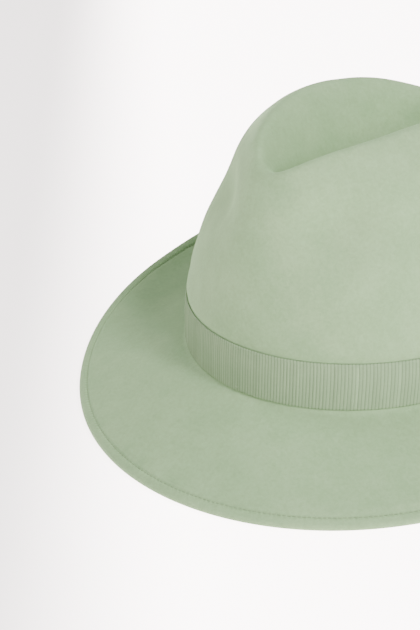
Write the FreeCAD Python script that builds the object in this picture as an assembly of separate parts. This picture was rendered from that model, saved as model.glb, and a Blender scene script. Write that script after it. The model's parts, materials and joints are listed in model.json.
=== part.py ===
import FreeCAD, Part
import math
import os
from FreeCAD import Vector

# A pinch-front felt fedora with a snap brim, a grosgrain band and a side bow.
# Millimetres. +Z is up, the front of the hat faces -Y and the wearer's left side is +X.
# The shapes are built on the brim plane: z = 0 is the break, where the crown meets the brim.
# Each is then leaned back and lifted, so that the hat stands on z = 0 as it does on a table.

# Stand: the front edge of the brim and the underside of its back touch the table.
LEAN_DEG = 5.64
STAND_HEIGHT = 16.53
STAND_SHIFT_Y = -0.4

# Crown of the felt, outside. Each list runs from the break up the wall to the ridge and
# down into the dent: break, top of the band, lower wall, upper wall, shoulder, ridge, lip,
# wall of the dent, floor of the dent.
BAND_HEIGHT = 25.5
RIDGE_HEIGHT = 124.0
DENT_DEPTH = 27.0
RING_HEIGHT = [0, BAND_HEIGHT, 58.5, 88.5, RIDGE_HEIGHT - 14.5, RIDGE_HEIGHT, RIDGE_HEIGHT - 4,
               RIDGE_HEIGHT - 18, RIDGE_HEIGHT - DENT_DEPTH]
RING_FRONT = [101, 100.5, 97, 91, 87.5, 80.5, 71.5, 65.5, 60.5]
RING_BACK = [101, 100.5, 96.5, 90, 83, 66, 57, 50, 44]
RING_HALF_WIDTH = [88, 87.5, 78.5, 69, 60.5, 41, 31, 21, 15]
RING_TAPER = [0.03, 0.03, 0.03, 0.13, 0.25, 0.25, 0.25, 0.25, 0.25]
RING_DIP_SHARE = [0, 0, 0, 0.25, 0.8, 1, 1, 0.55, 0]
RIDGE_DIP = [15, 5, 0, 4, 10]

# The two pinches, one each side of the nose of the crown.
PINCH_DEPTH = 6.4
PINCH_ANGLE = math.radians(34.5)
PINCH_ANGLE_SPREAD = math.radians(16.8)
PINCH_HEIGHT = 91.0
PINCH_HEIGHT_SPREAD = 17.0

# Brim: width, fall and rise of the outer edge at the front, front corner, side, back corner
# and back.
BRIM_WIDTH = [58.5, 58.5, 62, 57.5, 57]
BRIM_FALL = [28, 23.5, 20, 10, 9]
BRIM_RISE = [0, 0, 14, 32, 28]
BRIM_RISE_POWER = 3.3

# Felt thickness, the round break between crown and brim, and the edge turned under a wire.
FELT = 2.2
FELT_AT_EDGE = 1.8
BREAK_RADIUS = 2.6
EDGE_THICKNESS = 4.5
EDGE_HEM = 9.5
EDGE_SEAM = 4.8
HEM_THICKNESS = 3.9
HEM_GAP = 0.3
WIRE_POCKET_RADIUS = 0.7
WIRE_RADIUS = 0.4
JOINER_RADIUS = 0.6
JOINER_BORE_RADIUS = 0.46
JOINER_LENGTH = 24.0
THREAD_RADIUS = 0.22

# Grosgrain band and its side bow. Distances from the felt are measured along its normal.
RIBBON = 0.5
BAND_BOTTOM = 1.8
BAND_TOP = BAND_BOTTOM + 24.6
BAND_CLEARANCE = 0.2
BAND_END = math.radians(90)
BAND_OVERLAP = math.radians(7)
BOW_HALF_LENGTH = 27.0
BOW_TAIL_LENGTH = 36.0
BOW_NOTCH = 8.0
KNOT_HALF_WIDTH = 6.0
KNOT_BACK = 1.5
TAIL_BACK = 2.2
LOOP_BACK = 3.45
LOOP_FRONT = 4.3
LOOP_SWELL = 2.2
KNOT_FRONT = 5.1

# Sweatband, its reed, and the lining.
LEATHER = 1.1
LEATHER_BACK = 3.4
SWEATBAND_HEIGHT = 50.0
SWEATBAND_GAP = math.radians(0.25)
REED_RADIUS = 1.0
LINING = 0.4
LINING_BACK = 2.6
LINING_BOTTOM = 13.0
LINING_TOP = 84.0
TIP_SAG = 3.0

COLUMNS = 72


def along(values, place):
    """A smooth curve through a list of values; place counts entries from the first."""
    last = len(values) - 1
    place = min(max(place, 0), last)
    left = min(int(place), last - 1)
    part = place - left
    b, c = values[left], values[left + 1]
    a = values[left - 1] if left > 0 else 2 * b - c
    d = values[left + 2] if left + 2 <= last else 2 * c - b
    bend = (2 * a - 5 * b + 4 * c - d) * part ** 2 + (3 * b - a - 3 * c + d) * part ** 3
    return 0.5 * (2 * b + (c - a) * part + bend)


def around(values, angle):
    """A smooth value round the hat from five, front to back; both sides are alike."""
    turn = abs(math.remainder(angle, 2 * math.pi)) / (math.pi / 4)
    mirrored = [values[1]] + list(values) + [values[3]]
    return along(mirrored, turn + 1)


def crown(place, angle):
    """The outside of the crown: place runs from 0 at the break to 8 at the dent's floor."""
    front, back = along(RING_FRONT, place), along(RING_BACK, place)
    height = along(RING_HEIGHT, place)
    sideways, forwards = math.sin(angle), math.cos(angle)
    taper = 1 - along(RING_TAPER, place) * forwards
    x = along(RING_HALF_WIDTH, place) * sideways * taper
    y = -(front + back) / 2 * forwards
    off_pinch = (abs(math.remainder(angle, 2 * math.pi)) - PINCH_ANGLE) / PINCH_ANGLE_SPREAD
    off_height = (height - PINCH_HEIGHT) / PINCH_HEIGHT_SPREAD
    fade = min(max((7 - place) / 1.5, 0), 1)
    pinch = PINCH_DEPTH * math.exp(-off_pinch ** 2 - off_height ** 2) * fade
    inward = 1 - pinch / math.hypot(x, y)
    z = height - along(RING_DIP_SHARE, place) * around(RIDGE_DIP, angle)
    return Vector(x * inward, y * inward + (back - front) / 2, z)


def wall_place(height):
    """The crown's place at a height on its wall."""
    low, high = 0.0, 4.0
    for _ in range(40):
        middle = (low + high) / 2
        if along(RING_HEIGHT, middle) < height:
            low = middle
        else:
            high = middle
    return low


def brim(out, angle):
    """The top of the brim: out is 0 at the break and 1 at the edge."""
    break_point = crown(0, angle)
    side = Vector(math.sin(angle) / RING_HALF_WIDTH[0], -math.cos(angle) / RING_FRONT[0], 0)
    side.normalize()
    fall = around(BRIM_FALL, angle) * out
    rise = around(BRIM_RISE, angle) * abs(out) ** BRIM_RISE_POWER
    return break_point + side * around(BRIM_WIDTH, angle) * out + Vector(0, 0, rise - fall)


def normal(surface, place, angle):
    """The unit normal of a surface, pointing out of the crown or up from the brim."""
    step = 1e-3
    run = surface(place + step, angle) - surface(place - step, angle)
    turn = surface(place, angle + step) - surface(place, angle - step)
    face = turn.cross(run) if surface is crown else run.cross(turn)
    return face.normalize()


def on_wall(height, angle, depth):
    """A point on the crown's wall at a height; depth is out from the felt, or in if negative."""
    place = max(wall_place(height), 0.01)
    return crown(place, angle) + normal(crown, place, angle) * depth


def angles(start=0.0, end=2 * math.pi, count=COLUMNS):
    return [start + (end - start) * step / count for step in range(count + 1)]


def ring(points):
    """A closed smooth edge; the first and the last point are the same."""
    curve = Part.BSplineCurve()
    curve.interpolate(Points=points[:-1], PeriodicFlag=True)
    return Part.Wire([curve.toShape()])


def line(points):
    """An open smooth edge."""
    curve = Part.BSplineCurve()
    curve.interpolate(Points=points)
    return curve.toShape()


def solid_of(faces):
    """One closed solid sewn from faces, with its volume positive."""
    shell = Part.makeShell(faces)
    shell.sewShape()
    solid = Part.makeSolid(Part.Shell(shell.Faces))
    if solid.Volume < 0:
        solid.reverse()
    return solid


def closed_band(rings):
    """A solid that goes right round the hat, from the corner rings of its section."""
    edges = [wire.Edges[0] for wire in rings]
    return solid_of([Part.makeRuledSurface(a, b) for a, b in zip(edges, edges[1:] + edges[:1])])


def open_band(corner_lines):
    """A solid with two ends, from the corner lines that run along it."""
    edges = [line(points) for points in corner_lines]
    faces = [Part.makeRuledSurface(a, b) for a, b in zip(edges, edges[1:] + edges[:1])]
    for end in (0, -1):
        corners = [points[end] for points in corner_lines]
        for b, c in zip(corners[1:], corners[2:]):
            faces.append(Part.Face(Part.makePolygon([corners[0], b, c, corners[0]])))
    return solid_of(faces)


def edge_frame(angle):
    """The brim's edge at an angle: a point, the way out along the brim, and the way down."""
    tip = brim(1, angle)
    outward = (brim(1, angle) - brim(0.97, angle)).normalize()
    return tip, outward, normal(brim, 1, angle) * -1


def at_edge(inward, down, angle):
    """A point by its distance in from the edge's tip and its depth below the brim's top."""
    tip, outward, below = edge_frame(angle)
    width = around(BRIM_WIDTH, angle)
    half = EDGE_THICKNESS / 2
    if inward <= half:
        return tip - outward * inward + below * down
    out = 1 - inward / width
    return brim(out, angle) - normal(brim, out, angle) * down


def arc_steps(start_deg, end_deg, count):
    return [math.radians(start_deg + (end_deg - start_deg) * i / count) for i in range(count + 1)]


def edge_section():
    """The turned edge as (inward, down) points: over the nose, back along the hem, round the
    wire's pocket and in under the brim."""
    half = EDGE_THICKNESS / 2
    nose = [(half - half * math.sin(a), half - half * math.cos(a)) for a in arc_steps(0, 180, 8)]
    hem_top = HEM_THICKNESS - FELT_AT_EDGE
    under_brim = hem_top - HEM_GAP
    hem = [(EDGE_SEAM - 0.8, HEM_THICKNESS + 0.2), (EDGE_SEAM, HEM_THICKNESS),
           (EDGE_SEAM + 2, HEM_THICKNESS), (EDGE_HEM - 0.5, HEM_THICKNESS - 0.1),
           (EDGE_HEM, HEM_THICKNESS - 0.8), (EDGE_HEM - 0.3, hem_top), (EDGE_SEAM, hem_top)]
    pocket = [(half - WIRE_POCKET_RADIUS * math.cos(a), half + WIRE_POCKET_RADIUS * math.sin(a))
              for a in arc_steps(140, -140, 8)]
    back = [(EDGE_SEAM, under_brim), (EDGE_HEM + 0.5, under_brim)]
    return nose + hem + pocket + back


def felt_body():
    """One felt: dented crown, break and brim, with the edge turned under and the hollow inside."""
    turns = angles()
    up_places = [0.14, 0.3, 0.5, 0.75] + [1 + 0.2 * i for i in range(36)]
    crown_places = up_places[::-1]
    brim_places = [0.07, 0.12, 0.2, 0.3, 0.4, 0.5, 0.6, 0.7, 0.78, 0.84, 0.88]
    outside, inside = [], []
    for place in crown_places:
        points = [crown(place, a) for a in turns]
        depths = [normal(crown, place, a) * FELT for a in turns]
        if place > 7.9:
            depths = [Vector(0, 0, FELT)] * len(turns)
        outside.append(points)
        inside.append([p - d for p, d in zip(points, depths)])
    bend = arc_steps(15, 75, 3)
    for a in bend:
        drop = BREAK_RADIUS * (1 - math.sin(a))
        reach = BREAK_RADIUS * (1 - math.cos(a))
        points, backs = [], []
        for turn in turns:
            side = normal(crown, 0.1, turn)
            side.z = 0
            side.normalize()
            slope = (brim(0.08, turn).z - crown(0, turn).z) / (0.08 * around(BRIM_WIDTH, turn))
            base = crown(0, turn) + side * reach + Vector(0, 0, drop + slope * reach)
            face = (side * math.cos(a) + Vector(0, 0, math.sin(a))).normalize()
            points.append(base)
            backs.append(base - face * FELT)
        outside.append(points)
        inside.append(backs)
    for out in brim_places:
        thickness = FELT_AT_EDGE + (FELT - FELT_AT_EDGE) * (1 - out) ** 0.5
        points = [brim(out, a) for a in turns]
        outside.append(points)
        if out < 0.8:
            inside.append([p - normal(brim, out, a) * thickness for p, a in zip(points, turns)])
    section = edge_section()
    edge = [[at_edge(inward, down, a) for a in turns] for inward, down in section]
    grid = outside + edge + inside[::-1]
    loft = Part.makeLoft([ring(points) for points in grid], True, True)
    if loft.Volume < 0:
        loft.reverse()
    return loft


def tube_round(centre, radius, start, end, count, sides=10):
    """A thin tube along centre(angle), with its section spread out and down at each angle."""
    corners = []
    for side in range(sides):
        spin = 2 * math.pi * side / sides
        points = []
        for angle in angles(start, end, count):
            along_it = (centre(angle + 1e-3) - centre(angle - 1e-3)).normalize()
            across = along_it.cross(Vector(0, 0, 1)).normalize()
            over = across.cross(along_it)
            points.append(centre(angle) + (across * math.cos(spin) + over * math.sin(spin)) * radius)
        corners.append(points)
    return corners


def closed_tube(centre, radius):
    return closed_band([ring(points) for points in tube_round(centre, radius, 0, 2 * math.pi, COLUMNS)])


def open_tube(centre, radius, start, end, count):
    return open_band(tube_round(centre, radius, start, end, count))


def wire_line(angle):
    return at_edge(EDGE_THICKNESS / 2, EDGE_THICKNESS / 2, angle)


def brim_wire():
    """A spring wire in the fold of the edge; its two ends meet at the back."""
    half_gap = math.radians(0.4)
    return open_tube(wire_line, WIRE_RADIUS, half_gap - math.pi, math.pi - half_gap, COLUMNS)


def wire_joiner():
    """A crimped sleeve over the two ends of the wire."""
    half_turn = JOINER_LENGTH / 2 / (RING_BACK[0] + BRIM_WIDTH[4])
    stretch = (math.pi - half_turn, math.pi + half_turn, 8)
    sleeve = open_tube(wire_line, JOINER_RADIUS, *stretch)
    bore = (math.pi - half_turn * 1.1, math.pi + half_turn * 1.1, 8)
    return sleeve.cut(open_tube(wire_line, JOINER_BORE_RADIUS, *bore)).Solids[0]


def edge_stitching():
    """The seam of the turned edge: a thread along the top and one along the hem."""
    clear = THREAD_RADIUS + 0.06
    top = closed_tube(lambda a: at_edge(EDGE_SEAM, -clear, a), THREAD_RADIUS)
    under = closed_tube(lambda a: at_edge(EDGE_SEAM + 0.4, HEM_THICKNESS + clear + 0.04, a), THREAD_RADIUS)
    return Part.makeCompound([top, under])


def ribbon_strip(bottom, top, back, thickness, turns):
    """A ribbon on the crown's wall; back gives its distance from the felt at each angle."""
    middle = (bottom + top) / 2
    corners = [(bottom, 0), (middle, 0), (top, 0), (top, thickness), (middle, thickness), (bottom, thickness)]
    return open_band([[on_wall(height, a, back(a) + extra) for a in turns] for height, extra in corners])


def hat_band():
    """The ribbon goes once round and its end laps over its start, under the bow."""
    start, end = BAND_END - BAND_OVERLAP, BAND_END + 2 * math.pi + BAND_OVERLAP

    def back(angle):
        lapped = min(max((angle - (end - 4.5 * BAND_OVERLAP)) / (2 * BAND_OVERLAP), 0), 1)
        return BAND_CLEARANCE + lapped ** 2 * (3 - 2 * lapped) * (RIBBON + 0.15)

    return ribbon_strip(BAND_BOTTOM, BAND_TOP, back, RIBBON, angles(start, end, COLUMNS * 2))


def stitch(start, end, side):
    """One hand stitch: a short round thread between two points."""
    return Part.makeCylinder(THREAD_RADIUS, (end - start).Length, start + side * 0.28, end - start)


def band_tacks():
    """Small stitches that hold the ribbon's edges to the felt."""
    tacks = []
    for turn in (0, 60, 150, 210, 300):
        for height in (BAND_BOTTOM + 2.2, BAND_TOP - 2.2):
            angle = math.radians(turn)
            depth = BAND_CLEARANCE + RIBBON
            ends = [on_wall(height, angle + part, depth) for part in (-0.008, 0.008)]
            tacks.append(stitch(ends[0], ends[1], normal(crown, 0.8, angle)))
    return Part.makeCompound(tacks)


def bow_angle(length):
    """The angle at a distance along the wall, ahead of the bow's middle if negative."""
    return BAND_END + length / RING_FRONT[1]


def swell(length):
    """How far the bow's loops swell out between the knot and their folds."""
    free = BOW_HALF_LENGTH - KNOT_HALF_WIDTH
    share = min(max((abs(length) - KNOT_HALF_WIDTH) / free, 0), 1)
    return LOOP_SWELL * math.sin(math.pi * share) ** 2


def bow_point(length, height, depth):
    """A point on the bow; depth is measured level, out from the felt."""
    side = normal(crown, 0.5, bow_angle(length))
    side.z = 0
    point = on_wall(height, bow_angle(length), 0) + side.normalize() * depth
    return Vector(point.x, point.y, height)


def loop_block(grow, bottom, top):
    """The space inside the folded ribbon, grown by a distance all round."""
    lengths = [BOW_HALF_LENGTH * (i / 12 - 1) for i in range(25)]
    fold = BOW_HALF_LENGTH + 0.5 + grow
    middle = (LOOP_BACK + LOOP_FRONT) / 2
    outline = [(s, LOOP_BACK - grow) for s in lengths] + [(fold, middle)]
    outline += [(s, LOOP_FRONT + swell(s) + grow) for s in lengths[::-1]] + [(-fold, middle)]
    rings = []
    for height in (bottom, (bottom + top) / 2, top):
        points = [bow_point(length, height, depth) for length, depth in outline]
        rings.append(Part.makePolygon(points + points[:1]))
    return Part.makeLoft(rings, True, True)


def bow_loop():
    """The bow's ribbon folded flat into two loops, one each side of the knot."""
    ribbon = loop_block(RIBBON, BAND_BOTTOM, BAND_TOP)
    hollow = loop_block(0, BAND_BOTTOM - 1, BAND_TOP + 1)
    return ribbon.cut(hollow).Solids[0]


def bow_tail():
    """A flat ribbon under the loops, with both of its ends cut to a notch."""
    middle = (BAND_BOTTOM + BAND_TOP) / 2
    parts = []
    for low, high in ((BAND_BOTTOM, middle), (middle, BAND_TOP)):
        corners = []
        for height, depth in ((low, 0), (high, 0), (high, RIBBON), (low, RIBBON)):
            reach = BOW_TAIL_LENGTH - (BOW_NOTCH if height == middle else 0)
            turns = [bow_angle(reach * (i / 6 - 1)) for i in range(13)]
            corners.append([on_wall(height, a, TAIL_BACK + depth) for a in turns])
        parts.append(open_band(corners))
    return parts[0].fuse(parts[1]).removeSplitter().Solids[0]


def bow_knot():
    """A short ribbon wrapped over the middle of the bow and behind it."""
    low, high = BAND_BOTTOM - 0.55, BAND_TOP + 0.55
    outer = [(low - RIBBON, KNOT_BACK), (high + RIBBON, KNOT_BACK),
             (high + RIBBON, KNOT_FRONT + RIBBON), (low - RIBBON, KNOT_FRONT + RIBBON)]
    inner = [(low, KNOT_BACK + RIBBON * 0.8), (high, KNOT_BACK + RIBBON * 0.8),
             (high, KNOT_FRONT), (low, KNOT_FRONT)]
    turns = [bow_angle(KNOT_HALF_WIDTH * (i / 2 - 1)) for i in range(5)]
    block = open_band([[on_wall(h, a, d) for a in turns] for h, d in outer])
    longer = [bow_angle(KNOT_HALF_WIDTH * 1.2 * (i / 2 - 1)) for i in range(5)]
    hole = open_band([[on_wall(h, a, d) for a in longer] for h, d in inner])
    return block.cut(hole).Solids[0]


def bow_tacks():
    """Stitches that catch the tails of the bow to the band."""
    tacks = []
    for length in (-BOW_HALF_LENGTH - 3.4, BOW_HALF_LENGTH + 3.4):
        for height in (BAND_BOTTOM + 2.2, BAND_TOP - 2.2):
            ends = [on_wall(height, bow_angle(length + part), TAIL_BACK + RIBBON) for part in (-0.8, 0.8)]
            tacks.append(stitch(ends[0], ends[1], normal(crown, 0.8, bow_angle(length))))
    return Part.makeCompound(tacks)


def sweatband():
    """The leather strip inside the opening; its ends meet at the back."""
    turns = angles(SWEATBAND_GAP - math.pi, math.pi - SWEATBAND_GAP)
    corners = []
    heights = [0.8 + (SWEATBAND_HEIGHT - 0.8) * i / 4 for i in range(5)]
    for height in heights:
        corners.append([on_wall(height, a, -LEATHER_BACK) for a in turns])
    for height in heights[::-1]:
        corners.append([on_wall(height, a, -LEATHER_BACK - LEATHER) for a in turns])
    edges = [line(points) for points in corners]
    faces = [Part.makeRuledSurface(a, b) for a, b in zip(edges, edges[1:] + edges[:1])]
    for end in (0, -1):
        for i in range(4):
            quad = [corners[i][end], corners[i + 1][end], corners[8 - i][end], corners[9 - i][end]]
            faces.append(Part.Face(Part.makePolygon([quad[0], quad[1], quad[2], quad[0]])))
            faces.append(Part.Face(Part.makePolygon([quad[0], quad[2], quad[3], quad[0]])))
    return solid_of(faces)


def sweatband_reed():
    """The reed in the sweatband's lower edge, which carries it on the break."""
    def centre(angle):
        return on_wall(0.8, angle, -LEATHER_BACK - LEATHER / 2) - Vector(0, 0, REED_RADIUS + 0.25)
    return closed_tube(centre, REED_RADIUS)


def sweatband_stitching():
    """The thread that sews the sweatband and its reed into the hat."""
    depth = -LEATHER_BACK - LEATHER - THREAD_RADIUS - 0.06
    return closed_tube(lambda a: on_wall(3.6, a, depth), THREAD_RADIUS)


def rear_seam_bow():
    """A small flat bow of narrow ribbon that marks the sweatband's rear seam."""
    half_length, half_height, waist = 9.0, 4.2, 1.3
    outline = [(-half_length, half_height), (-1.6, waist), (1.6, waist), (half_length, half_height),
               (half_length - 1.5, 0), (half_length, -half_height), (1.6, -waist), (-1.6, -waist),
               (-half_length, -half_height), (-half_length + 1.5, 0)]
    height, sagitta = 27.0, 0.75
    base = on_wall(height, math.pi, -LEATHER_BACK - LEATHER - sagitta)
    inward = normal(crown, wall_place(height), math.pi) * -1
    up = Vector(1, 0, 0).cross(inward) * -1
    points = [base + Vector(1, 0, 0) * x + up * y for x, y in outline]
    return Part.Face(Part.makePolygon(points + points[:1])).extrude(inward * 0.7)


def size_tag():
    """A blank tag on the sweatband, beside its rear seam."""
    height, half_width, half_height, sagitta = 14.0, 6.0, 4.0, 0.35
    angle = math.pi + math.radians(17)
    inward = normal(crown, wall_place(height), angle) * -1
    across = Vector(0, 0, 1).cross(inward).normalize()
    up = inward.cross(across)
    base = on_wall(height, angle, -LEATHER_BACK - LEATHER - sagitta)
    points = [base + across * x * half_width + up * y * half_height
              for x, y in ((-1, -1), (1, -1), (1, 1), (-1, 1))]
    return Part.Face(Part.makePolygon(points + points[:1])).extrude(inward * 0.35)


def lining_ring(height, depth):
    return [on_wall(height, a, -depth) for a in angles()]


def lining_side():
    """The lining's wall, tucked behind the sweatband at the bottom."""
    heights = [LINING_BOTTOM + (LINING_TOP - LINING_BOTTOM) * i / 6 for i in range(7)]
    rings = [lining_ring(h, LINING_BACK) for h in heights]
    rings += [lining_ring(h, LINING_BACK + LINING) for h in heights[::-1]]
    return closed_band([ring(points) for points in rings])


def lining_tip():
    """The lining's oval top, which hangs a little under the dent."""
    rim = lining_ring(LINING_TOP, LINING_BACK + LINING + 0.35)
    middle = Vector(0, 0, LINING_TOP - LINING)
    shares = [1, 0.85, 0.65, 0.4, 0.15]
    lower, upper = [], []
    for share in shares:
        sag = Vector(0, 0, -TIP_SAG * (1 - share ** 2))
        flat = [Vector(p.x * share, p.y * share, middle.z) + sag for p in rim]
        lower.append(flat)
        upper.append([p + Vector(0, 0, LINING) for p in flat])
    rings = [ring(points) for points in lower[::-1] + upper]
    return Part.makeLoft(rings, True, True)


def stand(shape):
    """Lean the hat back and lift it, so that the brim rests on the table."""
    shape.rotate(Vector(0, 0, 0), Vector(1, 0, 0), -LEAN_DEG)
    shape.translate(Vector(0, STAND_SHIFT_Y, STAND_HEIGHT))
    return shape


PIECES = [felt_body, brim_wire, wire_joiner, edge_stitching, hat_band, band_tacks, bow_tail,
          bow_loop, bow_knot, bow_tacks, sweatband, sweatband_reed, sweatband_stitching,
          rear_seam_bow, size_tag, lining_side, lining_tip]

os.makedirs("parts", exist_ok=True)
for make in PIECES:
    piece = stand(make())
    box = piece.BoundBox
    print(make.__name__, piece.isValid(), len(piece.Solids), round(piece.Volume, 1),
          [round(v, 2) for v in (box.XMin, box.XMax, box.YMin, box.YMax, box.ZMin, box.ZMax)])
    piece.exportStep("parts/" + make.__name__ + ".step")
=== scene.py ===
import bmesh
import bpy
import json
import math
import numpy as np
from mathutils import Matrix, Vector
from types import SimpleNamespace


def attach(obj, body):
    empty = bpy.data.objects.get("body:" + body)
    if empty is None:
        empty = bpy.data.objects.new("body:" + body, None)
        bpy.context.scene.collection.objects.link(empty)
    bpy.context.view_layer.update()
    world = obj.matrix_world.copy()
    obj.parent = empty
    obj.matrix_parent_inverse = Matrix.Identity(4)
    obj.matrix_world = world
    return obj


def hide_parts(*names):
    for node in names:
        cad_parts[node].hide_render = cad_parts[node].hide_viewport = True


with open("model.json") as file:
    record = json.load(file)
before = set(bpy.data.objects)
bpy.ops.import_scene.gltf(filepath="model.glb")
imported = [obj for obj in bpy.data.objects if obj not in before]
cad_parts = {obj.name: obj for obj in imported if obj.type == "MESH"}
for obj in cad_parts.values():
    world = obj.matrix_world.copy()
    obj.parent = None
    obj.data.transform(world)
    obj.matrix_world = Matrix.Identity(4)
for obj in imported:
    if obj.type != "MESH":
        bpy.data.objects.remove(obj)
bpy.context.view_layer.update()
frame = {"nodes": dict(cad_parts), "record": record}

# ---------------------------------------------------------------------------------------------
# The felt body. One cone of wool felt, steamed over a block into a crown and a flat brim, then
# dented by hand: a teardrop on top and a pinch each side of the nose. The brim snaps down in
# front and curls up behind; its edge is folded under a wire and stitched.

# Lengths are in metres. Rings are counted from the brim's break to the dent's crease, and each
# list of five goes front, front corner, side, back corner, back.
FELT = 0.0022
FELT_AT_EDGE = 0.0018
RIDGE = 0.124
RING_HEIGHT = [0, 0.0255, 0.0585, 0.0885, RIDGE - 0.0145, RIDGE, RIDGE - 0.004, RIDGE - 0.018,
               RIDGE - 0.027, RIDGE - 0.0292, RIDGE - 0.0298]
RING_FRONT = [0.101, 0.1005, 0.097, 0.091, 0.0875, 0.0805, 0.0715, 0.0655, 0.0605, 0.055, 0.047]
RING_BACK = [0.101, 0.1005, 0.0965, 0.090, 0.083, 0.066, 0.057, 0.050, 0.044, 0.038, 0.030]
RING_HALF_WIDTH = [0.088, 0.0875, 0.0785, 0.069, 0.0605, 0.041, 0.031, 0.021, 0.015, 0.0075, 0]
RING_TAPER = [0.03, 0.03, 0.03, 0.13, 0.25, 0.25, 0.25, 0.25, 0.25, 0.25, 0.25]
RING_DIP_SHARE = [0, 0, 0, 0.25, 0.8, 1, 1, 0.55, 0, 0, 0]
RIDGE_DIP = [0.015, 0.005, 0, 0.004, 0.010]
PINCH_DEPTH = 0.0064
PINCH_ANGLE = math.radians(34.5)
PINCH_ANGLE_SPREAD = math.radians(16.8)
PINCH_HEIGHT = 0.091
PINCH_HEIGHT_SPREAD = 0.017
PINCH_LAST_RING = 7
PINCH_FADE = 1.5
BAND_TOP = 0.0264
SWELL_OVER_BAND = 0.0009
BRIM_WIDTH = [0.0585, 0.0585, 0.062, 0.0575, 0.057]
BRIM_FALL = [0.028, 0.0235, 0.020, 0.010, 0.009]
BRIM_RISE = [0, 0, 0.014, 0.032, 0.028]
BRIM_RISE_POWER = 3.3
BREAK_RADIUS = 0.0026
EDGE = 0.0045
EDGE_SEAM = 0.0048
EDGE_HEM = 0.0095
HEM = 0.0039
HEM_GAP = 0.0003
POCKET_RADIUS = 0.0007
SEAM_GROOVE = 0.00055
SLOW_DEPTH, SLOW_LENGTH = 0.00034, 0.055
FINE_DEPTH, FINE_LENGTH = 0.00010, 0.017
BRIM_WAVE_DEPTH, BRIM_WAVE_LENGTH = 0.00022, 0.06
STITCH = 0.0024
FELT_COLUMNS = 280
CREASE = len(RING_HEIGHT) - 1
WELD = 2e-6
# On a table it rests on the front edge of the brim and the underside of its back, leaning a little.
opening = frame["record"]["mounts"][0]
lean = math.atan2(-opening["axis"][1], -opening["axis"][2])
stance = Matrix.Translation(opening["pos_m"]) @ Matrix.Rotation(-lean, 4, "X")


def stand(points):
    """Points turned by the lean about X, then moved to where the opening is."""
    return points @ np.array(stance.to_3x3()).T + np.array(stance.translation)


def along(values, place):
    """A smooth curve through a list of values: a cubic between each pair, with its slope at a
    value set by the two neighbours. place counts entries from the first."""
    values = np.array(values, float)
    last = len(values) - 1
    place = np.clip(place, 0, last)
    left = np.minimum(np.floor(place).astype(int), last - 1)
    part = place - left
    ends = [[2 * values[0] - values[1]], values, [2 * values[-1] - values[-2]]]
    a, b, c, d = (np.concatenate(ends)[left + step] for step in range(4))
    bend = (2 * a - 5 * b + 4 * c - d) * part ** 2 + (3 * b - a - 3 * c + d) * part ** 3
    return 0.5 * (2 * b + (c - a) * part + bend)


def off_front(angle):
    """The angle from the front of the hat, the same on both sides, from 0 to pi."""
    return np.abs((angle + np.pi) % (2 * np.pi) - np.pi)


def around(values, angle):
    """A smooth value round the hat from five: front, front corner, side, back corner, back."""
    mirrored = [values[1]] + list(values) + [values[3]]
    return along(mirrored, off_front(angle) / (np.pi / 4) + 1)


def crown(place, angle):
    """The outside of the crown: an oval ring for each place, narrowed towards the front, pushed
    in by a bell curve at each pinch and let down by the dip of the ridge."""
    front, back = along(RING_FRONT, place), along(RING_BACK, place)
    height = along(RING_HEIGHT, place)
    x = along(RING_HALF_WIDTH, place) * np.sin(angle)
    x = x * (1 - along(RING_TAPER, place) * np.cos(angle))
    y = -(front + back) / 2 * np.cos(angle)
    off_angle = (off_front(angle) - PINCH_ANGLE) / PINCH_ANGLE_SPREAD
    off_height = (height - PINCH_HEIGHT) / PINCH_HEIGHT_SPREAD
    pinch = PINCH_DEPTH * np.exp(-off_angle ** 2 - off_height ** 2)
    pinch = pinch * np.clip((PINCH_LAST_RING - place) / PINCH_FADE, 0, 1)
    inward = 1 - pinch / np.hypot(x, y)
    z = height - along(RING_DIP_SHARE, place) * around(RIDGE_DIP, angle)
    return np.stack([x * inward, y * inward + (back - front) / 2, z], -1)


def unit(vectors):
    """Vectors cut to a length of one."""
    return vectors / np.maximum(np.linalg.norm(vectors, axis=-1, keepdims=True), 1e-12)


def sideways(angle):
    """The level direction out from the break at an angle."""
    flat = [np.sin(angle) / RING_HALF_WIDTH[0], -np.cos(angle) / RING_FRONT[0], 0 * angle]
    return unit(np.stack(flat, -1))


def brim(out, angle):
    """The top of the brim: straight out from the break, falling evenly and rising as a power."""
    reach = around(BRIM_WIDTH, angle) * out
    points = crown(0 * angle, angle) + sideways(angle) * reach[..., None]
    rise = around(BRIM_RISE, angle) * np.abs(out) ** BRIM_RISE_POWER
    points[..., 2] += rise - around(BRIM_FALL, angle) * out
    return points


def facing(surface, place, angle, step=1e-3):
    """The unit normal of a surface, out of the crown or up from the brim."""
    run = surface(place + step, angle) - surface(place - step, angle)
    turn = surface(place, angle + step) - surface(place, angle - step)
    return unit(np.cross(turn, run) if surface is crown else np.cross(run, turn))


def waves(points, length, seed, count=14):
    """Soft unevenness from -1 to 1: a mean of cosines that run in random directions, with
    wavelengths about the given length."""
    random = np.random.default_rng(seed)
    runs = unit(random.normal(size=(count, 3))) * random.uniform(0.7, 1.4, (count, 1)) / length
    phases = random.uniform(0, 2 * np.pi, count)
    return np.cos(2 * np.pi * points @ runs.T + phases).sum(-1) / math.sqrt(count)


def smooth(value, low, high):
    """A step from 0 to 1 between low and high, level at both ends."""
    share = np.clip((value - low) / (high - low), 0, 1)
    return share * share * (3 - 2 * share)


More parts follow.
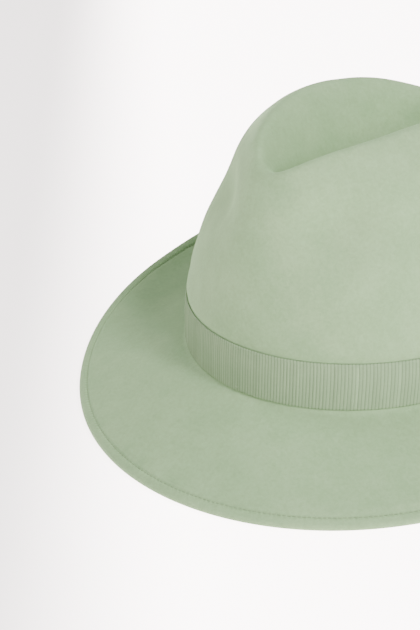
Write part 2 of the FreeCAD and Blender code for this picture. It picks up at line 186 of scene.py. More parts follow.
def skin(name, grids, uv, wrap_rows=False, wrap_columns=False, tones=None):
    """A mesh laid over one grid of points, (rows, columns, 3), or over several alike. A wrapped
    direction repeats its first row or column as its last, so that the pattern can run on over
    the join. Ends that close on themselves are welded, and the faces are made to point out."""
    rows, columns = grids.shape[-3:-1]
    grids = grids.reshape(-1, rows, columns, 3)
    count = len(grids)
    tall, wide = rows - wrap_rows, columns - wrap_columns
    n, i, j = np.meshgrid(*map(np.arange, (count, rows - 1, columns - 1)), indexing="ij")
    corners = [(i, j), (i, j + 1), (i + 1, j + 1), (i + 1, j)]
    quads = np.stack([(n * tall + r % tall) * wide + c % wide for r, c in corners], -1)
    plain = np.stack([(n * rows + r) * columns + c for r, c in corners], -1)
    quads, plain = quads.reshape(-1, 4), plain.reshape(-1, 4)
    points = stand(grids[:, :tall, :wide].reshape(-1, 3))
    a, b, c, d = (points[quads[:, k]] - points.mean(0) for k in range(4))
    if (a * np.cross(b, c)).sum() + (a * np.cross(c, d)).sum() < 0:
        quads, plain = quads[:, ::-1], plain[:, ::-1]
    mesh = bpy.data.meshes.new(name)
    mesh.vertices.add(len(points))
    mesh.vertices.foreach_set("co", points.ravel())
    mesh.loops.add(quads.size)
    mesh.loops.foreach_set("vertex_index", quads.ravel().astype(np.int32))
    mesh.polygons.add(len(quads))
    mesh.polygons.foreach_set("loop_start", np.arange(0, quads.size, 4, dtype=np.int32))
    mesh.update(calc_edges=True)
    layer = mesh.uv_layers.new(name="lay")
    layer.data.foreach_set("uv", uv.reshape(-1, 2)[plain.ravel()].ravel())
    if tones is not None:
        tones = tones.reshape(-1, rows, columns)[:, :tall, :wide]
        mesh.attributes.new("tone", "FLOAT", "POINT").data.foreach_set(
            "value", tones.ravel().astype(np.float32))
    work = bmesh.new()
    work.from_mesh(mesh)
    bmesh.ops.remove_doubles(work, verts=work.verts, dist=WELD)
    work.to_mesh(mesh)
    work.free()
    mesh.shade_smooth()
    piece = bpy.data.objects.new(name, mesh)
    bpy.context.collection.objects.link(piece)
    return piece


def edge_point(inward, down, angle):
    """A point of the brim's edge by its distance in from the tip and its depth below the top."""
    width = around(BRIM_WIDTH, angle)
    tip = brim(np.ones_like(angle), angle)
    outward = unit(tip - brim(np.full_like(angle, 0.97), angle))
    down = np.asarray(down)[..., None]
    nose = tip - outward * inward - facing(brim, np.ones_like(angle), angle) * down
    out = 1 - inward / width
    flat = brim(out, angle) - facing(brim, out, angle) * down
    return nose if inward <= EDGE / 2 else flat


def sweep(start, end, count):
    """Even steps from one angle in degrees to another, in radians."""
    return np.radians(np.linspace(start, end, count))


def edge_section():
    """The folded edge as (inward, down) pairs: round the nose, back along the hem, round its
    raw end, out to the wire's pocket and in again under the brim."""
    half = EDGE / 2
    hem_top = HEM - FELT_AT_EDGE
    nose = [(half - half * math.sin(a), half - half * math.cos(a)) for a in sweep(0, 180, 15)]
    hem = [(EDGE_SEAM - 0.0016, HEM + 0.00045), (EDGE_SEAM - 0.0008, HEM + 0.0002),
           (EDGE_SEAM, HEM), (EDGE_SEAM + 0.001, HEM + 0.00008), (EDGE_SEAM + 0.0025, HEM),
           (EDGE_HEM - 0.0008, HEM - 0.00003), (EDGE_HEM - 0.00025, HEM - 0.0003),
           (EDGE_HEM, HEM - 0.0009), (EDGE_HEM - 0.0002, hem_top + 0.0002),
           (EDGE_HEM - 0.0007, hem_top), (EDGE_SEAM, hem_top)]
    pocket = [(half - POCKET_RADIUS * math.cos(a), half + POCKET_RADIUS * math.sin(a))
              for a in sweep(140, -140, 11)]
    back = [(EDGE_SEAM, hem_top - HEM_GAP), (EDGE_HEM + 0.0005, hem_top - HEM_GAP)]
    return nose + hem + pocket + back


def felt_relief(points, place):
    """How far the felt stands off its block: slow unevenness of the hand shaping, and the
    swell where the band draws in the crown."""
    swell = SWELL_OVER_BAND * smooth(points[..., 2], BAND_TOP - 0.0005, BAND_TOP + 0.0035)
    swell = swell * (1 - smooth(points[..., 2], BAND_TOP + 0.005, BAND_TOP + 0.034)) * (place < 3.5)
    uneven = SLOW_DEPTH * waves(points, SLOW_LENGTH, 3) + FINE_DEPTH * waves(points, FINE_LENGTH, 4)
    return swell + uneven * smooth(points[..., 2], BAND_TOP, BAND_TOP + 0.012)


def felt_rings(turns):
    """All rings of the felt, from the crease of the dent over the crown and the brim, round the
    edge and back along the inside to the underside of the crease."""
    places = np.concatenate([np.linspace(0.12, 1.0, 8), np.linspace(1.04, 1.3, 8),
                             np.linspace(1.36, CREASE, 96)])[::-1]
    place, angle = np.meshgrid(places, turns, indexing="ij")
    outer = crown(place, angle)
    out_of = facing(crown, np.clip(place, 0, CREASE - 0.04), angle)
    outer = outer + out_of * felt_relief(outer, place)[..., None]
    inner = outer - out_of * FELT
    inner[..., 0][place == CREASE] = 0
    outer[..., 0][place == CREASE] = 0
    bend = sweep(12, 78, 6)[:, None]
    side = sideways(turns)[None]
    slope = -around(BRIM_FALL, turns) / around(BRIM_WIDTH, turns)
    reach = BREAK_RADIUS * (1 - np.cos(bend)) + 0 * turns
    drop = BREAK_RADIUS * (1 - np.sin(bend)) + slope * reach
    base = crown(0 * turns, turns)[None] + side * reach[..., None]
    base[..., 2] += drop
    face = side * np.cos(bend)[..., None]
    face[..., 2] += np.sin(bend)
    shares = np.concatenate([[0.06, 0.09], np.linspace(0.13, 0.87, 30)])
    out, around_brim = np.meshgrid(shares, turns, indexing="ij")
    top = brim(out, around_brim)
    up = facing(brim, out, around_brim)
    uneven = BRIM_WAVE_DEPTH * waves(top, BRIM_WAVE_LENGTH, 5) * smooth(out, 0.05, 0.3)
    top = top + up * uneven[..., None]
    thick = FELT_AT_EDGE + (FELT - FELT_AT_EDGE) * (1 - out) ** 0.5
    under = (top - up * thick[..., None])[out[:, 0] < 0.8]
    groove = [(0.0073, 0), (0.0062, 0.00003), (0.0056, 0.00014), (0.0052, 0.00040),
              (EDGE_SEAM, SEAM_GROOVE), (0.0044, 0.00036), (0.0040, 0.00008), (0.0034, -0.00008),
              (0.0029, -0.00004)]
    rim = np.stack([edge_point(inward, down, turns) for inward, down in groove + edge_section()])
    inside = [under[::-1], (base - face * FELT)[::-1], inner[::-1]]
    return np.concatenate([outer, base, top, rim] + inside)


def brim_edge_length(angle):
    """Distance round the brim's edge to each angle, from the first."""
    tip = brim(np.ones_like(angle), angle)
    steps = np.linalg.norm(np.diff(tip, axis=0), axis=-1)
    return np.concatenate([[0], np.cumsum(steps)])


felt_turns = np.linspace(-np.pi, np.pi, FELT_COLUMNS + 1)
rings = felt_rings(felt_turns)
edge_length = brim_edge_length(felt_turns)
stitches_round = round(edge_length[-1] / STITCH)
stitch_count = edge_length / edge_length[-1] * stitches_round
from_edge = np.linalg.norm(rings - brim(np.ones_like(felt_turns), felt_turns)[None], axis=-1)
felt_uv = np.stack([np.broadcast_to(stitch_count, from_edge.shape), from_edge / EDGE_SEAM], -1)
felt = skin("felt_body_shaped", rings, felt_uv, wrap_columns=True)


def new_material(name, **values):
    """An empty material with a Principled shader, whose plain values are given by name, and
    short ways to add nodes and to feed it."""
    material = bpy.data.materials.new(name)
    material.use_nodes = True
    tree = material.node_tree
    shader = tree.nodes["Principled BSDF"]
    for key, value in values.items():
        shader.inputs[key.replace("_", " ")].default_value = value

    def add(kind, inputs=None, **settings):
        node = tree.nodes.new("ShaderNode" + kind)
        for key, value in settings.items():
            setattr(node, key, value)
        for key, value in (inputs or {}).items():
            if isinstance(value, bpy.types.NodeSocket):
                tree.links.new(value, node.inputs[key])
            else:
                node.inputs[key].default_value = value
        return node

    def feed(key, output):
        tree.links.new(output, shader.inputs[key])

    def maths(operation, *terms):
        return add("Math", dict(enumerate(terms)), operation=operation).outputs[0]

    def span(value, low, high, start, end, **settings):
        """A value between low and high carried to a value between start and end."""
        return add("MapRange", {"Value": value, "From Min": low, "From Max": high,
                                "To Min": start, "To Max": end}, **settings).outputs["Result"]

    def noise(place, scale, detail, **inputs):
        inputs.update(Vector=place, Scale=scale, Detail=detail)
        return add("TexNoise", inputs).outputs["Fac"]

    def fuzz(fibres):
        node = add("Group", {"Vector": place, "Fibres": fibres}, node_tree=wool_fuzz)
        return node.outputs["Tone"], node.outputs["Height"]

    def lay():
        """The two directions in which the piece was laid out."""
        parts = add("SeparateXYZ", {0: add("UVMap", uv_map="lay").outputs["UV"]}).outputs
        return parts["X"], parts["Y"]

    def tint(share, shade, light, low=0.0, high=1.0):
        """A colour that goes from shade to light as the share goes from low to high."""
        ramp = add("ValToRGB", {"Fac": share})
        for stop, at, colour in zip(ramp.color_ramp.elements, (low, high), (shade, light)):
            stop.position, stop.color = at, colour + (1,)
        return ramp.outputs["Color"]

    def paint(colour, strength):
        mix = add("Mix", {0: 1.0, 6: colour, 7: strength}, data_type="RGBA", blend_type="MULTIPLY")
        feed("Base Color", mix.outputs[2])

    def bump(height, strength, depth):
        node = add("Bump", {"Height": height, "Strength": strength, "Distance": depth})
        feed("Normal", node.outputs["Normal"])

    place = add("TexCoord").outputs["Object"]
    return SimpleNamespace(material=material, place=place, add=add, feed=feed, maths=maths,
                           span=span, noise=noise, fuzz=fuzz, lay=lay, tint=tint, paint=paint,
                           bump=bump)


def fuzz_group():
    """Wool fuzz, for felt, ribbon and thread: short crossed fibres and soft clumps. It gives a
    tone from 0 to 1 and a height from 0 to 1, at a fibre size given in fibres per metre."""
    tree = bpy.data.node_groups.new("wool_fuzz", "ShaderNodeTree")
    for name, way, kind in [("Vector", "INPUT", "Vector"), ("Fibres", "INPUT", "Float"),
                            ("Tone", "OUTPUT", "Float"), ("Height", "OUTPUT", "Float")]:
        tree.interface.new_socket(name, in_out=way, socket_type="NodeSocket" + kind)
    source = tree.nodes.new("NodeGroupInput")
    result = tree.nodes.new("NodeGroupOutput")
    join = tree.links.new

    def noise(scale, detail, distortion):
        node = tree.nodes.new("ShaderNodeTexNoise")
        node.inputs["Detail"].default_value = detail
        node.inputs["Roughness"].default_value = 0.62
        node.inputs["Distortion"].default_value = distortion
        size = tree.nodes.new("ShaderNodeMath")
        size.operation = "MULTIPLY"
        size.inputs[1].default_value = scale
        join(source.outputs["Fibres"], size.inputs[0])
        join(size.outputs[0], node.inputs["Scale"])
        join(source.outputs["Vector"], node.inputs["Vector"])
        return node.outputs["Fac"]

    fibres = noise(1.0, 3, 2.2)
    clumps = noise(0.22, 4, 0.6)
    for name, share in (("Tone", 0.6), ("Height", 0.35)):
        mean = tree.nodes.new("ShaderNodeMix")
        mean.inputs["Factor"].default_value = share
        join(fibres, mean.inputs[2])
        join(clumps, mean.inputs[3])
        join(mean.outputs[0], result.inputs[name])
    return tree


wool_fuzz = fuzz_group()


def felt_material():
    """Matte sage wool: slow clouding, clumped fibres, a short pale nap, puckered stitch holes."""
    kit = new_material("sage_wool_felt", Roughness=0.92, Specular_IOR_Level=0.22, Sheen_Weight=0.8,
                       Sheen_Roughness=0.42, Sheen_Tint=(0.72, 1.0, 0.60, 1))
    tone, height = kit.fuzz(2300.0)
    cloud = kit.noise(kit.place, 46.0, 5.0, Roughness=0.74)
    sage = kit.tint(cloud, (0.296, 0.452, 0.234), (0.340, 0.497, 0.266), 0.38, 0.64)
    kit.paint(sage, kit.span(tone, 0.36, 0.64, 0.90, 1.07))
    stitch, from_tip = kit.lay()
    pull = kit.maths("COSINE", kit.maths("MULTIPLY", stitch, 2 * math.pi))
    near = kit.span(from_tip, 0.62, 1.0, 0.0, 1.0, interpolation_type="SMOOTHSTEP")
    far = kit.span(from_tip, 1.0, 1.45, 1.0, 0.0, interpolation_type="SMOOTHSTEP")
    pucker = kit.maths("MULTIPLY", pull, kit.maths("MULTIPLY", near, far))
    kit.bump(kit.maths("MULTIPLY_ADD", pucker, 1.2, height), 0.55, 0.00016)
    return kit.material


def sew_on(piece, material, node):
    """Give a piece its finish, and its place in the hat's one body instead of its CAD node."""
    piece.data.materials.append(material)
    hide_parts(node)
    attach(piece, "root")
    return piece


sew_on(felt, felt_material(), "felt_body")

# ---------------------------------------------------------------------------------------------
# The wire in the edge and its joiner. A thin spring wire runs in the fold all the way round and
# lets the brim be snapped up or down; a small crimped sleeve holds its ends at the back.
def steel_material():
    """Drawn steel with fine scratches and a little dull tarnish."""
    kit = new_material("drawn_steel", Metallic=1.0)
    tarnish, scratch = kit.noise(kit.place, 120.0, 4.0), kit.noise(kit.place, 3000.0, 3.0)
    kit.feed("Base Color", kit.tint(tarnish, (0.42, 0.40, 0.37), (0.62, 0.61, 0.59)))
    kit.feed("Roughness", kit.span(scratch, 0.0, 1.0, 0.22, 0.42))
    return kit.material


def dress(node, material):
    """Give a CAD node's object a finish in place of its plain one."""
    slots = frame["nodes"][node].data.materials
    slots.clear()
    slots.append(material)


drawn_steel = steel_material()
dress("brim_wire", drawn_steel)
dress("wire_joiner", drawn_steel)

# ---------------------------------------------------------------------------------------------
# The edge's stitching. One row of lockstitch in matching cotton holds the turned hem. Each
# stitch shows as a short round thread that dips into the felt at both ends, above and below.
THREAD = 0.00022
STITCH_SHOWN = 0.78
STITCH_DIP = 0.0004
THREAD_REST = 0.6


def thread_material(name, shade, light):
    """Cotton thread: two plies that wind round it, with painted shade a little darker where they
    meet.
    """
    kit = new_material(name, Roughness=0.6)
    along_it, round_it = kit.lay()
    wind = kit.maths("MULTIPLY_ADD", along_it, 5.0, round_it)
    ply = kit.maths("SINE", kit.maths("MULTIPLY", wind, 2 * math.pi))
    tone, _ = kit.fuzz(6000.0)
    # Painted shade: the colour darkens where the two plies meet.
    kit.paint(kit.tint(tone, shade, light), kit.span(ply, -1.0, 1.0, 0.80, 1.05))
    kit.bump(ply, 0.5, 0.00005)
    return kit.material


sage_thread = thread_material("sage_cotton_thread", (0.25, 0.35, 0.19), (0.33, 0.44, 0.25))


def stitches(name, centre, count, node, thread):
    """A row of separate stitches. centre(share, lift) gives a point at a share of the way along
    and a height over the cloth; each thread is a ring of points carried along a line that
    leaves the cloth, lies on it and dips again."""
    along_one = np.linspace(-0.5, 0.5, 7)
    rise = np.sqrt(1 - (2 * along_one) ** 6) - 1
    shares = (np.arange(count)[:, None] + 0.5 + along_one * STITCH_SHOWN) / count
    line = centre(shares, rise * STITCH_DIP + THREAD * THREAD_REST)
    ahead = unit(np.gradient(line, axis=1))
    up = centre(shares, np.full_like(rise, 0.001)) - centre(shares, np.zeros_like(rise))
    across = unit(np.cross(ahead, up))
    over = np.cross(across, ahead)
    spin = np.linspace(0, 2 * np.pi, 7)[:, None, None]
    thick = THREAD * np.where(np.abs(along_one) > 0.49, 0, 1)[:, None]
    round_it = across[:, None] * np.cos(spin) + over[:, None] * np.sin(spin)
    grids = line[:, None] + round_it * thick
    uv = np.stack(np.broadcast_arrays(along_one, spin[..., 0] / (2 * np.pi)), -1)
    uv = np.broadcast_to(uv, grids.shape[:-1] + (2,))
    sew_on(skin(name, grids, uv, wrap_rows=True), thread, node)


def at_stitch(share):
    """The angle at a share of the way round the brim's edge, measured from the back."""
    return np.interp(share * stitches_round, stitch_count, felt_turns)


def top_seam(share, lift):
    """Along the bottom of the groove above the hem."""
    return edge_point(EDGE_SEAM, SEAM_GROOVE - lift, at_stitch(share))


def hem_seam(share, lift):
    """Along the hem, under the brim."""
    return edge_point(EDGE_SEAM, HEM + lift, at_stitch(share))


stitches("edge_stitches_top", top_seam, stitches_round, "edge_stitching", sage_thread)
stitches("edge_stitches_under", hem_seam, stitches_round, "edge_stitching", sage_thread)

# ---------------------------------------------------------------------------------------------
# The band. A 25 mm grosgrain ribbon in the felt's own colour, drawn tight round the foot of the
# crown. Fine upright ribs, a smooth bound edge top and bottom; its end laps over its start at
# the wearer's left, under the bow.
RIBBON = 0.0005
RIB = 0.00172
RIB_STEPS = 4
RIB_HEIGHT = 0.00018
SELVEDGE = 0.0011
SELVEDGE_HEIGHT = 0.00016
SCALLOP = 0.00009
BAND_BOTTOM = 0.0018
RIBBON_WIDTH = BAND_TOP - BAND_BOTTOM
BAND_CLEARANCE = 0.0002
BAND_END = math.radians(90)
BAND_OVERLAP = math.radians(7)
LAP_STEP = (4.5, 2.5)
LAP_GAP = 0.00015
# The crown's wall ends at its shoulder, the fourth ring. These two give the ring at a height.
WALL_PLACES = np.linspace(0, 4, 400)
WALL_HEIGHTS = along(RING_HEIGHT, WALL_PLACES)


def on_wall(height, angle, depth):
    """A point on the crown's wall at a height, moved out along the felt's normal by depth."""
    place = np.maximum(np.interp(height, WALL_HEIGHTS, WALL_PLACES), 0.01)
    return crown(place, angle) + facing(crown, place, angle) * np.asarray(depth)[..., None]


def ribbon(name, node, length, width, place, seed, notch=0.0):
    """Grosgrain laid by place(along, across, out): a front and a back a ribbon's thickness
    apart. The front is a row of half-round ribs, each a little unlike the next, which die away
    into flat selvedges. The two ends close to the ribbon's middle; a notch is cut into them."""
    ribs = int(length / RIB)
    run = np.linspace(0, length, ribs * RIB_STEPS + 1)
    across = np.concatenate([[0, 0.03, 0.07], np.linspace(0.12, 0.88, 9), [0.93, 0.97, 1]]) * width
    random = np.random.default_rng(seed)
    rib_tone = random.normal(0, 1, ribs + 2)
    rib_size = np.clip(random.normal(1, 0.25, ribs + 2), 0.4, 1.6)
    share = run / RIB
    number = np.minimum(share.astype(int), ribs)
    round_rib = np.abs(np.sin(np.pi * share)) * rib_size[number]
    from_edge = np.minimum(across, width - across)
    bound = smooth(from_edge, SELVEDGE * 0.6, SELVEDGE)[:, None]
    relief = RIB_HEIGHT * round_rib[None] * bound
    selvedge = np.sin(np.pi * np.clip(from_edge / SELVEDGE, 0, 1))[:, None]
    relief = relief + SELVEDGE_HEIGHT * selvedge * (1 - bound)
    outward = np.sign(across - width / 2)[:, None]
    scallop = SCALLOP * np.sin(2 * np.pi * share)[None] * (1 - bound) * outward
    cut = notch * (1 - 2 * np.abs(across / width - 0.5))[:, None]
    along_it = (run[None] - length / 2) * (length / 2 - cut) / (length / 2)
    over = across[:, None] + scallop
    front = place(along_it, over, RIBBON + relief)
    back = place(along_it, over, np.zeros_like(relief))
    ends = [0, -1]
    middle = place(along_it[:, ends], over[:, ends], np.full((len(across), 2), RIBBON / 2))
    front[:, ends] = back[:, ends] = middle
    grid = np.concatenate([front, back[::-1], front[:1]])
    share = np.broadcast_to(share, relief.shape)
    uv = np.stack([share, np.broadcast_to((across / width)[:, None], share.shape)], -1)
    tone = np.broadcast_to(rib_tone[number], relief.shape) * bound
    piece = skin(name, grid, np.concatenate([uv, uv[::-1], uv[:1]]), wrap_rows=True,
                 tones=np.concatenate([tone, tone[::-1], tone[:1]]))
    return sew_on(piece, grosgrain, node)


def grosgrain_material():
    """Tonal grosgrain: silky ribs, with painted shade making it darker in the grooves, and a rib
    here and there lighter.
    """
    kit = new_material("sage_grosgrain", Roughness=0.85, Specular_IOR_Level=0.06)
    tone, height = kit.fuzz(3800.0)
    turn = kit.maths("MULTIPLY", kit.lay()[0], math.pi)
    rib = kit.maths("ABSOLUTE", kit.maths("SINE", turn))
    uneven = kit.add("Attribute", attribute_name="tone").outputs["Fac"]
    light = kit.maths("MULTIPLY_ADD", uneven, 0.035, 1.0)
    # Painted shade: the colour darkens in the grooves between the ribs.
    groove = kit.span(rib, 0.0, 0.60, 0.62, 1.09)
    fine = kit.span(tone, 0.35, 0.65, 0.95, 1.05)
    shade = kit.maths("MULTIPLY", kit.maths("MULTIPLY", light, groove), fine)
    patch = kit.noise(kit.place, 70.0, 2.0)
    kit.paint(kit.tint(patch, (0.250, 0.357, 0.204), (0.278, 0.388, 0.224), 0.3, 0.7), shade)
    kit.bump(kit.maths("MULTIPLY_ADD", rib, 0.5, height), 0.35, 0.0001)
    return kit.material


grosgrain = grosgrain_material()


def band_place(along_it, over, out):
    """Round the crown's foot: distance along becomes an angle, and the last stretch steps out
    over the first."""
    start = BAND_END - BAND_OVERLAP
    whole = 2 * np.pi + 2 * BAND_OVERLAP
    angle = start + whole * (along_it / band_length + 0.5)
    step_start, step_end = (start + whole - part * BAND_OVERLAP for part in LAP_STEP)
    lapped = smooth(angle, step_start, step_end)
    depth = BAND_CLEARANCE + lapped * (RIBBON + LAP_GAP) + out
    return on_wall(BAND_BOTTOM + over, angle, depth)


band_length = math.pi * (RING_FRONT[0] + RING_HALF_WIDTH[0]) * (1 + BAND_OVERLAP / math.pi)
band = ribbon("hat_band_grosgrain", "hat_band", band_length, RIBBON_WIDTH, band_place, 11)

# ---------------------------------------------------------------------------------------------
# The small stitches that hold the band's two edges to the felt, and those that catch the bow's
# tails to the band, in the same thread.
dress("band_tacks", sage_thread)
dress("bow_tacks", sage_thread)

# ---------------------------------------------------------------------------------------------
# The bow, flat, at the wearer's left. A length of the band's ribbon with notched ends lies
# under a second length folded into two loops, and a third, 12 mm wide, is wrapped round both.
BOW_HALF_LENGTH = 0.027
BOW_TAIL_LENGTH = 0.036
BOW_NOTCH = 0.008
TAIL_BACK = 0.0022
LOOP_BACK = 0.0035
LOOP_FRONT = 0.0046
LOOP_SWELL = 0.0022
KNOT_HALF_WIDTH = 0.006
KNOT_BACK = 0.0016
KNOT_FRONT = 0.0053
KNOT_MARGIN = 0.0008
LOOP_RISE = 0.0006
KNOT_CROWN = 0.0006
CORNER_POWER = 8


def bow_place(along_it, over, out):
    """On the crown's wall beside the bow's middle, at a height over the band's lower edge."""
    height = np.broadcast_to(BAND_BOTTOM + over, np.broadcast(along_it, over, out).shape)
    angle = BAND_END + along_it / RING_FRONT[1] + 0 * height
    return on_wall(height, angle, out + 0 * height)


def looped_ribbon(name, node, outline, width, place):
    """Grosgrain whose two ends meet. outline is its middle line, a closed flat curve; place puts
    a point of that flat, with a distance across the ribbon, on the hat. Ribs stand outwards."""
    steps = np.concatenate([[0], np.cumsum(np.linalg.norm(np.diff(outline, axis=0), axis=1))])
    ribs = int(steps[-1] / RIB)
    share = np.linspace(0, ribs, ribs * RIB_STEPS + 1)
    reached = share / ribs * steps[-1]
    line = np.stack([np.interp(reached, steps, outline[:, k]) for k in (0, 1)], -1)
    line[-1] = line[0]
    ahead = unit(np.roll(line[:-1], -1, 0) - np.roll(line[:-1], 1, 0))
    ahead = np.concatenate([ahead, ahead[:1]])
    outward = np.stack([ahead[:, 1], -ahead[:, 0]], -1)
    if (outward * (line - line[:-1].mean(0))).sum() < 0:
        outward = -outward
    across = np.concatenate([[0, 0.04, 0.08], np.linspace(0.14, 0.86, 7), [0.92, 0.96, 1]]) * width
    bound = smooth(np.minimum(across, width - across), SELVEDGE * 0.6, SELVEDGE)[:, None]
    relief = RIB_HEIGHT * np.abs(np.sin(np.pi * share)) * bound
    outer = line + outward * (RIBBON / 2 + relief)[..., None]
    inner = line - outward * (RIBBON / 2) + 0 * outer
    grid = np.concatenate([place(outer[..., 0], outer[..., 1], across[:, None]),
                           place(inner[..., 0], inner[..., 1], across[:, None])[::-1]])
    grid = np.concatenate([grid, grid[:1]])
    uv = np.stack(np.broadcast_arrays(share, across[:, None] / width), -1)
    rib_tone = np.random.default_rng(len(name)).normal(0, 1, ribs + 1)
    tone = rib_tone[np.minimum(share.astype(int), ribs - 1)] * bound
    piece = skin(name, grid, np.concatenate([uv, uv[::-1], uv[:1]]), wrap_rows=True,
                 wrap_columns=True, tones=np.concatenate([tone, tone[::-1], tone[:1]]))
    return sew_on(piece, grosgrain, node), float(steps[-1])


tail = ribbon("bow_tail_notched", "bow_tail", 2 * BOW_TAIL_LENGTH, RIBBON_WIDTH,
              lambda s, over, out: bow_place(s, over, TAIL_BACK + out), 12, notch=BOW_NOTCH)

front_run = np.linspace(-BOW_HALF_LENGTH, BOW_HALF_LENGTH, 121)
past_knot = np.abs(front_run) - KNOT_HALF_WIDTH
free = np.clip(past_knot / (BOW_HALF_LENGTH - KNOT_HALF_WIDTH), 0, 1)
front_depth = LOOP_FRONT + LOOP_SWELL * np.sin(np.pi * free ** 0.8) ** 2 + LOOP_RISE * free
fold_middle = (front_depth[0] + LOOP_BACK) / 2
fold_turn = sweep(90, -90, 13)[1:-1]
fold = np.stack([np.cos(fold_turn), np.sin(fold_turn)], -1) * (front_depth[0] - LOOP_BACK) / 2
loop_outline = np.concatenate([
    np.stack([front_run, front_depth], -1),
    fold + [BOW_HALF_LENGTH, fold_middle],
    np.stack([front_run[::-1], np.full_like(front_run, LOOP_BACK)], -1),
    fold[::-1] * [-1, 1] + [-BOW_HALF_LENGTH, fold_middle],
    [[front_run[0], front_depth[0]]]])
loops, loop_length = looped_ribbon("bow_loops", "bow_loop", loop_outline, RIBBON_WIDTH,
                                   lambda s, depth, over: bow_place(s, over, depth))

knot_turn = np.linspace(0, 2 * np.pi, 241)
knot_half = np.array([RIBBON_WIDTH / 2 + KNOT_MARGIN, (KNOT_FRONT - KNOT_BACK) / 2])
knot_round = np.stack([np.cos(knot_turn), np.sin(knot_turn)], -1)
knot_outline = np.sign(knot_round) * np.abs(knot_round) ** (2 / CORNER_POWER) * knot_half
knot_outline = knot_outline + [RIBBON_WIDTH / 2, (KNOT_FRONT + KNOT_BACK) / 2]


def knot_place(over, depth, across):
    """Round the bow's middle; the wrap is a little fuller at the middle of its width."""
    off_middle = across / (2 * KNOT_HALF_WIDTH) - 0.5
    crowned = depth + KNOT_CROWN * (1 - 4 * off_middle ** 2) * smooth(depth, KNOT_BACK, KNOT_FRONT)
    return bow_place(off_middle * 2 * KNOT_HALF_WIDTH, over, crowned)


knot, knot_length = looped_ribbon("bow_knot_wrapped", "bow_knot", knot_outline,
                                  2 * KNOT_HALF_WIDTH, knot_place)

# ---------------------------------------------------------------------------------------------
# The sweatband. A strip of thin dressed leather stands inside the opening with its two ends
# meeting at the back. Its cut edges are rounded, and its free top leans in a little.
LEATHER = 0.0011
LEATHER_BACK = 0.0034
SWEATBAND_LOW = 0.0008
SWEATBAND_HEIGHT = 0.050
SWEATBAND_LEAN = 0.0009
SWEATBAND_GAP = 0.012
LEATHER_WAVE_DEPTH, LEATHER_WAVE_LENGTH = 0.00025, 0.05


def leather_material():
    """Dressed tan leather: a pebbled surface whose valleys carry painted shade, faint creases and a
    slightly darker handled tone.
    """
    kit = new_material("dressed_leather")
    pebble = kit.add("TexVoronoi", {"Vector": kit.place, "Scale": 1500.0},
                     feature="DISTANCE_TO_EDGE")
    crease = kit.noise(kit.place, 260.0, 6.0, Distortion=1.5)
    cloud = kit.noise(kit.place, 30.0, 4.0)
    # The pebbles' relief, and painted shade: the colour darkens toward each pebble's edge, in the
    # valleys.
    grain_and_valley_shade = kit.span(pebble.outputs["Distance"], 0.0, 0.25, 0.82, 1.03)
    kit.paint(kit.tint(cloud, (0.49, 0.36, 0.225), (0.59, 0.445, 0.29), 0.3, 0.72), grain_and_valley_shade)
    kit.bump(kit.maths("MULTIPLY_ADD", grain_and_valley_shade, 1.5, crease), 0.4, 0.00015)
    kit.feed("Roughness", kit.span(crease, 0.0, 1.0, 0.38, 0.58))
    return kit.material


def strip_section(low, high, thick, count):
    """A thin strip's cross-section as (height, depth) pairs: up one face, over a half-round
    edge, down the other face and round its lower edge. It ends where it begins."""
    heights = np.linspace(low + thick / 2, high - thick / 2, count)
    cap = sweep(180, 0, 7)[1:-1]
    top = np.stack([heights[-1] + np.sin(cap) * thick / 2, (1 + np.cos(cap)) * thick / 2], -1)
    foot = np.stack([heights[0] - np.sin(cap) * thick / 2, (1 - np.cos(cap)) * thick / 2], -1)
    section = np.concatenate([np.stack([heights, 0 * heights], -1), top,
                              np.stack([heights[::-1], 0 * heights + thick], -1), foot])
    return np.concatenate([section, section[:1]])


leather_section = strip_section(SWEATBAND_LOW, SWEATBAND_HEIGHT, LEATHER, 15)
leather_turns = np.linspace(SWEATBAND_GAP - np.pi, np.pi - SWEATBAND_GAP, 361)
height, angle = np.meshgrid(leather_section[:, 0], leather_turns, indexing="ij")
inward = np.broadcast_to(leather_section[:, 1:], height.shape).copy()
inward[:, [0, -1]] = LEATHER / 2
inward += LEATHER_BACK + SWEATBAND_LEAN * smooth(height, 0.015, SWEATBAND_HEIGHT)
leather_points = on_wall(height, angle, -inward)
uneven = LEATHER_WAVE_DEPTH * waves(leather_points, LEATHER_WAVE_LENGTH, 21)
uneven = uneven * smooth(height, 0.02, SWEATBAND_HEIGHT)
leather_points += facing(crown, 0 * angle + 1, angle) * uneven[..., None]
leather_uv = np.stack(np.broadcast_arrays(leather_turns[None] * 0.09, height), -1)
sweatband = skin("sweatband_leather", leather_points, leather_uv, wrap_rows=True)
sew_on(sweatband, leather_material(), "sweatband")

# ---------------------------------------------------------------------------------------------
# The reed in the sweatband's lower edge, a thin cord bound in cloth, and the row of stitches
# that sews leather and reed into the hat.
SWEATBAND_SEAM = 0.0036
SWEATBAND_STITCHES = 190


def reed_material():
    """A cord bound in undyed cloth: fine wound strands under a dull wax."""
    kit = new_material("bound_reed", Roughness=0.5)
    strand = kit.add("TexWave", {"Vector": kit.place, "Scale": 420.0, "Distortion": 3.0,
                                 "Detail": 2.0}, bands_direction="DIAGONAL").outputs["Fac"]
    kit.feed("Base Color", kit.tint(strand, (0.50, 0.44, 0.33), (0.66, 0.59, 0.45)))
    kit.bump(strand, 0.4, 0.0001)
    return kit.material


dress("sweatband_reed", reed_material())
tan_thread = thread_material("tan_thread", (0.28, 0.19, 0.11), (0.44, 0.32, 0.20))


def sweatband_seam(share, lift):
    """Round the leather's inner face, a little above its lower edge."""
    angle = (share * 2 - 1) * (np.pi - 2 * SWEATBAND_GAP)
    depth = -(LEATHER_BACK + LEATHER + lift + 0 * angle)
    return on_wall(np.full_like(angle, SWEATBAND_SEAM), angle, depth)


stitches("sweatband_stitches", sweatband_seam, SWEATBAND_STITCHES, "sweatband_stitching",
         tan_thread)

